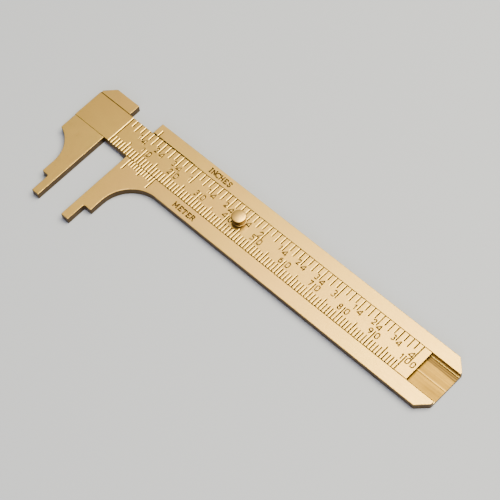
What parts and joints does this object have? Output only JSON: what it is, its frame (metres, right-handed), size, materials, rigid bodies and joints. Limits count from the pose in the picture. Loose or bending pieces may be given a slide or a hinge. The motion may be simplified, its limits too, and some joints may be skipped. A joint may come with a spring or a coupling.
{
  "type": "pocket vernier calliper",
  "caption": "Flat pocket vernier calliper: a grooved frame with a fixed jaw, and a dovetail slide with a scale, a sliding jaw and a thumb knob.",
  "frame": {"origin": "on the frame's back face, on the slide's centreline, at the zero line of the vernier", "axes": "+X along the slide away from the jaws, -Y along the jaws towards their tips, +Z out of the scale face"},
  "size_m": [0.1259, 0.0368, 0.0052],
  "materials": {
    "frame_brass": "satin, fine straight grain",
    "slide_brass": "satin, engraved scale",
    "head_brass": "satin, fine straight grain",
    "knob_brass": "turned, softly polished",
    "pin_brass": "drawn wire, dressed flush"
  },
  "bodies": {
    "frame_body": {"frame_plate": "frame_brass", "stop_pin": "pin_brass"},
    "slide_body": {"slide_bar": "slide_brass", "head_jaw": "head_brass", "head_pins": "pin_brass", "thumb_knob": "knob_brass"}
  },
  "joints": [
    {"name": "slide_travel", "type": "slide", "parent": "frame_body", "child": "slide_body", "axis": [-1, 0, 0], "range_m": [-0.00884, 0.09115]}
  ]
}
